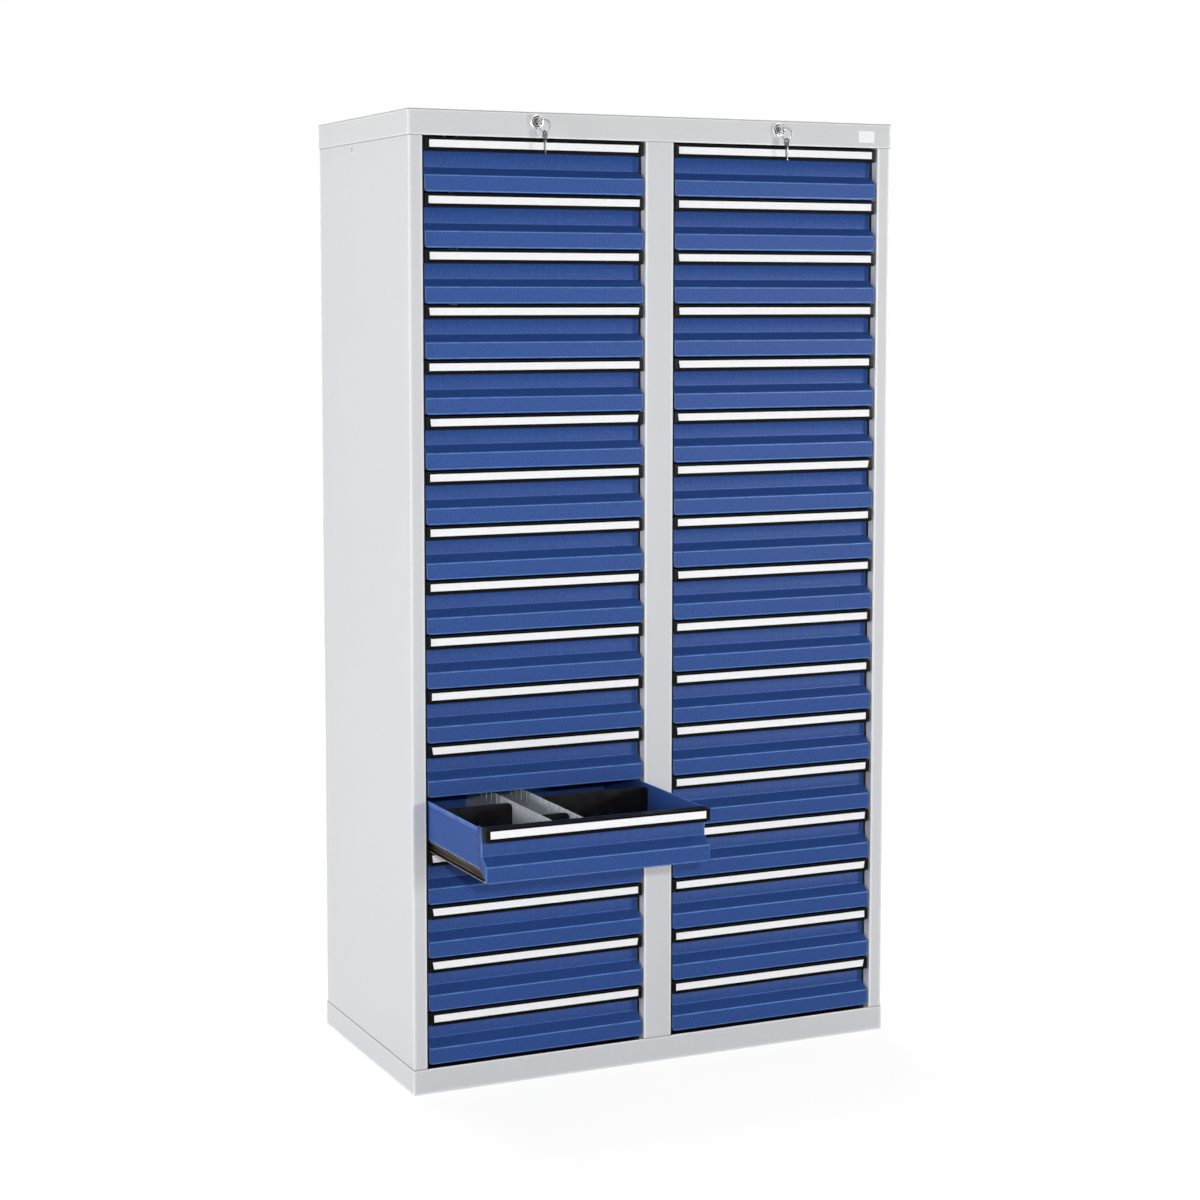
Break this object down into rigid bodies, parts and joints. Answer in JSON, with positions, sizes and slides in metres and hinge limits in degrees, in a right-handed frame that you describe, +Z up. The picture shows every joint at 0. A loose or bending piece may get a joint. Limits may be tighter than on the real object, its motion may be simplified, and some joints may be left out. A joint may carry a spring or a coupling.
{
  "type": "parts bin cabinet",
  "caption": "Free-standing sheet steel parts cabinet: two columns of shallow sliding drawers with full-width handle strips, and a key lock over each column.",
  "frame": {"origin": "centre of the base's underside, below the middle of the carcase", "axes": "+X to the right along the front, +Y from the front to the back, +Z up"},
  "size_m": [1, 0.777, 1.8],
  "materials": {
    "carcase_grey": "light grey powder coat, satin",
    "drawer_blue": "blue powder coat, satin",
    "strip_black": "black, fine matt grain",
    "card_white": "plain white card",
    "runner_black": "black coated steel",
    "zinc": "galvanised steel",
    "nickel": "bright nickel plate"
  },
  "bodies": {
    "root": {"top_cap": "carcase_grey", "base_tray": "carcase_grey", "side_panel_left": "carcase_grey", "side_panel_right": "carcase_grey", "back_panel": "carcase_grey", "centre_post": "carcase_grey", "rail_uprights": "carcase_grey", "cabinet_rails": "runner_black", "lock_housings": "nickel", "lock_bar_guides": "zinc", "back_screws": "zinc", "blank_plate": "card_white"},
    "drawer_l01": {"drawer_l01": "drawer_blue"},
    "drawer_l02": {"drawer_l02": "drawer_blue"},
    "drawer_l03": {"drawer_l03": "drawer_blue"},
    "drawer_l04": {"drawer_l04": "drawer_blue"},
    "drawer_l05": {"drawer_l05": "drawer_blue"},
    "drawer_l06": {"drawer_l06": "drawer_blue"},
    "drawer_l07": {"drawer_l07": "drawer_blue"},
    "drawer_l08": {"drawer_l08": "drawer_blue"},
    "drawer_l09": {"drawer_l09": "drawer_blue"},
    "drawer_l10": {"drawer_l10": "drawer_blue"},
    "drawer_l11": {"drawer_l11": "drawer_blue"},
    "drawer_l12": {"drawer_l12": "drawer_blue"},
    "open_drawer": {"open_drawer_pan": "drawer_blue", "open_drawer_front": "drawer_blue", "open_drawer_handle": "strip_black", "open_drawer_label": "card_white", "open_drawer_runners": "runner_black", "open_drawer_dividers": "zinc", "open_drawer_cross_dividers": "strip_black"},
    "drawer_l14": {"drawer_l14": "drawer_blue"},
    "drawer_l15": {"drawer_l15": "drawer_blue"},
    "drawer_l16": {"drawer_l16": "drawer_blue"},
    "drawer_l17": {"drawer_l17": "drawer_blue"},
    "drawer_r01": {"drawer_r01": "drawer_blue"},
    "drawer_r02": {"drawer_r02": "drawer_blue"},
    "drawer_r03": {"drawer_r03": "drawer_blue"},
    "drawer_r04": {"drawer_r04": "drawer_blue"},
    "drawer_r05": {"drawer_r05": "drawer_blue"},
    "drawer_r06": {"drawer_r06": "drawer_blue"},
    "drawer_r07": {"drawer_r07": "drawer_blue"},
    "drawer_r08": {"drawer_r08": "drawer_blue"},
    "drawer_r09": {"drawer_r09": "drawer_blue"},
    "drawer_r10": {"drawer_r10": "drawer_blue"},
    "drawer_r11": {"drawer_r11": "drawer_blue"},
    "drawer_r12": {"drawer_r12": "drawer_blue"},
    "drawer_r13": {"drawer_r13": "drawer_blue"},
    "drawer_r14": {"drawer_r14": "drawer_blue"},
    "drawer_r15": {"drawer_r15": "drawer_blue"},
    "drawer_r16": {"drawer_r16": "drawer_blue"},
    "drawer_r17": {"drawer_r17": "drawer_blue"},
    "lock_left": {"lock_plug_left": "nickel", "key_left": "nickel"},
    "lock_bar_left": {"lock_bar_left": "zinc"},
    "key_ring_left": {"key_ring_left": "nickel"},
    "lock_right": {"lock_plug_right": "nickel", "key_right": "nickel"},
    "lock_bar_right": {"lock_bar_right": "zinc"},
    "key_ring_right": {"key_ring_right": "nickel"}
  },
  "joints": [
    {"name": "drawer_l01_slide", "type": "slide", "parent": "root", "child": "drawer_l01", "axis": [0, -1, 0], "range_m": [0, 0.33]},
    {"name": "drawer_l02_slide", "type": "slide", "parent": "root", "child": "drawer_l02", "axis": [0, -1, 0], "range_m": [0, 0.33]},
    {"name": "drawer_l03_slide", "type": "slide", "parent": "root", "child": "drawer_l03", "axis": [0, -1, 0], "range_m": [0, 0.33]},
    {"name": "drawer_l04_slide", "type": "slide", "parent": "root", "child": "drawer_l04", "axis": [0, -1, 0], "range_m": [0, 0.33]},
    {"name": "drawer_l05_slide", "type": "slide", "parent": "root", "child": "drawer_l05", "axis": [0, -1, 0], "range_m": [0, 0.33]},
    {"name": "drawer_l06_slide", "type": "slide", "parent": "root", "child": "drawer_l06", "axis": [0, -1, 0], "range_m": [0, 0.33]},
    {"name": "drawer_l07_slide", "type": "slide", "parent": "root", "child": "drawer_l07", "axis": [0, -1, 0], "range_m": [0, 0.33]},
    {"name": "drawer_l08_slide", "type": "slide", "parent": "root", "child": "drawer_l08", "axis": [0, -1, 0], "range_m": [0, 0.33]},
    {"name": "drawer_l09_slide", "type": "slide", "parent": "root", "child": "drawer_l09", "axis": [0, -1, 0], "range_m": [0, 0.33]},
    {"name": "drawer_l10_slide", "type": "slide", "parent": "root", "child": "drawer_l10", "axis": [0, -1, 0], "range_m": [0, 0.33]},
    {"name": "drawer_l11_slide", "type": "slide", "parent": "root", "child": "drawer_l11", "axis": [0, -1, 0], "range_m": [0, 0.33]},
    {"name": "drawer_l12_slide", "type": "slide", "parent": "root", "child": "drawer_l12", "axis": [0, -1, 0], "range_m": [0, 0.33]},
    {"name": "open_drawer_slide", "type": "slide", "parent": "root", "child": "open_drawer", "axis": [0, -1, 0], "range_m": [-0.28, 0.05]},
    {"name": "drawer_l14_slide", "type": "slide", "parent": "root", "child": "drawer_l14", "axis": [0, -1, 0], "range_m": [0, 0.33]},
    {"name": "drawer_l15_slide", "type": "slide", "parent": "root", "child": "drawer_l15", "axis": [0, -1, 0], "range_m": [0, 0.33]},
    {"name": "drawer_l16_slide", "type": "slide", "parent": "root", "child": "drawer_l16", "axis": [0, -1, 0], "range_m": [0, 0.33]},
    {"name": "drawer_l17_slide", "type": "slide", "parent": "root", "child": "drawer_l17", "axis": [0, -1, 0], "range_m": [0, 0.33]},
    {"name": "drawer_r01_slide", "type": "slide", "parent": "root", "child": "drawer_r01", "axis": [0, -1, 0], "range_m": [0, 0.33]},
    {"name": "drawer_r02_slide", "type": "slide", "parent": "root", "child": "drawer_r02", "axis": [0, -1, 0], "range_m": [0, 0.33]},
    {"name": "drawer_r03_slide", "type": "slide", "parent": "root", "child": "drawer_r03", "axis": [0, -1, 0], "range_m": [0, 0.33]},
    {"name": "drawer_r04_slide", "type": "slide", "parent": "root", "child": "drawer_r04", "axis": [0, -1, 0], "range_m": [0, 0.33]},
    {"name": "drawer_r05_slide", "type": "slide", "parent": "root", "child": "drawer_r05", "axis": [0, -1, 0], "range_m": [0, 0.33]},
    {"name": "drawer_r06_slide", "type": "slide", "parent": "root", "child": "drawer_r06", "axis": [0, -1, 0], "range_m": [0, 0.33]},
    {"name": "drawer_r07_slide", "type": "slide", "parent": "root", "child": "drawer_r07", "axis": [0, -1, 0], "range_m": [0, 0.33]},
    {"name": "drawer_r08_slide", "type": "slide", "parent": "root", "child": "drawer_r08", "axis": [0, -1, 0], "range_m": [0, 0.33]},
    {"name": "drawer_r09_slide", "type": "slide", "parent": "root", "child": "drawer_r09", "axis": [0, -1, 0], "range_m": [0, 0.33]},
    {"name": "drawer_r10_slide", "type": "slide", "parent": "root", "child": "drawer_r10", "axis": [0, -1, 0], "range_m": [0, 0.33]},
    {"name": "drawer_r11_slide", "type": "slide", "parent": "root", "child": "drawer_r11", "axis": [0, -1, 0], "range_m": [0, 0.33]},
    {"name": "drawer_r12_slide", "type": "slide", "parent": "root", "child": "drawer_r12", "axis": [0, -1, 0], "range_m": [0, 0.33]},
    {"name": "drawer_r13_slide", "type": "slide", "parent": "root", "child": "drawer_r13", "axis": [0, -1, 0], "range_m": [0, 0.33]},
    {"name": "drawer_r14_slide", "type": "slide", "parent": "root", "child": "drawer_r14", "axis": [0, -1, 0], "range_m": [0, 0.33]},
    {"name": "drawer_r15_slide", "type": "slide", "parent": "root", "child": "drawer_r15", "axis": [0, -1, 0], "range_m": [0, 0.33]},
    {"name": "drawer_r16_slide", "type": "slide", "parent": "root", "child": "drawer_r16", "axis": [0, -1, 0], "range_m": [0, 0.33]},
    {"name": "drawer_r17_slide", "type": "slide", "parent": "root", "child": "drawer_r17", "axis": [0, -1, 0], "range_m": [0, 0.33]},
    {"name": "lock_left_turn", "type": "hinge", "parent": "root", "child": "lock_left", "pos_m": [-0.2505, -0.25, 1.7825], "axis": [0, -1, 0], "range_deg": [0, 90]},
    {"name": "lock_bar_left_lift", "type": "slide", "parent": "root", "child": "lock_bar_left", "axis": [0, 0, 1], "range_m": [0, 0.01131]},
    {"name": "key_ring_left_swing", "type": "hinge", "parent": "root", "child": "key_ring_left", "pos_m": [-0.2505, -0.269, 1.7825], "axis": [1, 0, 0], "range_deg": [-75, 0]},
    {"name": "lock_right_turn", "type": "hinge", "parent": "root", "child": "lock_right", "pos_m": [0.2505, -0.25, 1.7825], "axis": [0, -1, 0], "range_deg": [0, 90]},
    {"name": "lock_bar_right_lift", "type": "slide", "parent": "root", "child": "lock_bar_right", "axis": [0, 0, 1], "range_m": [0, 0.01131]},
    {"name": "key_ring_right_swing", "type": "hinge", "parent": "root", "child": "key_ring_right", "pos_m": [0.2505, -0.269, 1.7825], "axis": [1, 0, 0], "range_deg": [-75, 0]}
  ],
  "couplings": [
    {"joint": "lock_left_turn", "follows": "lock_bar_left_lift", "rad_per_m": 138.84},
    {"joint": "lock_right_turn", "follows": "lock_bar_right_lift", "rad_per_m": 138.84}
  ]
}
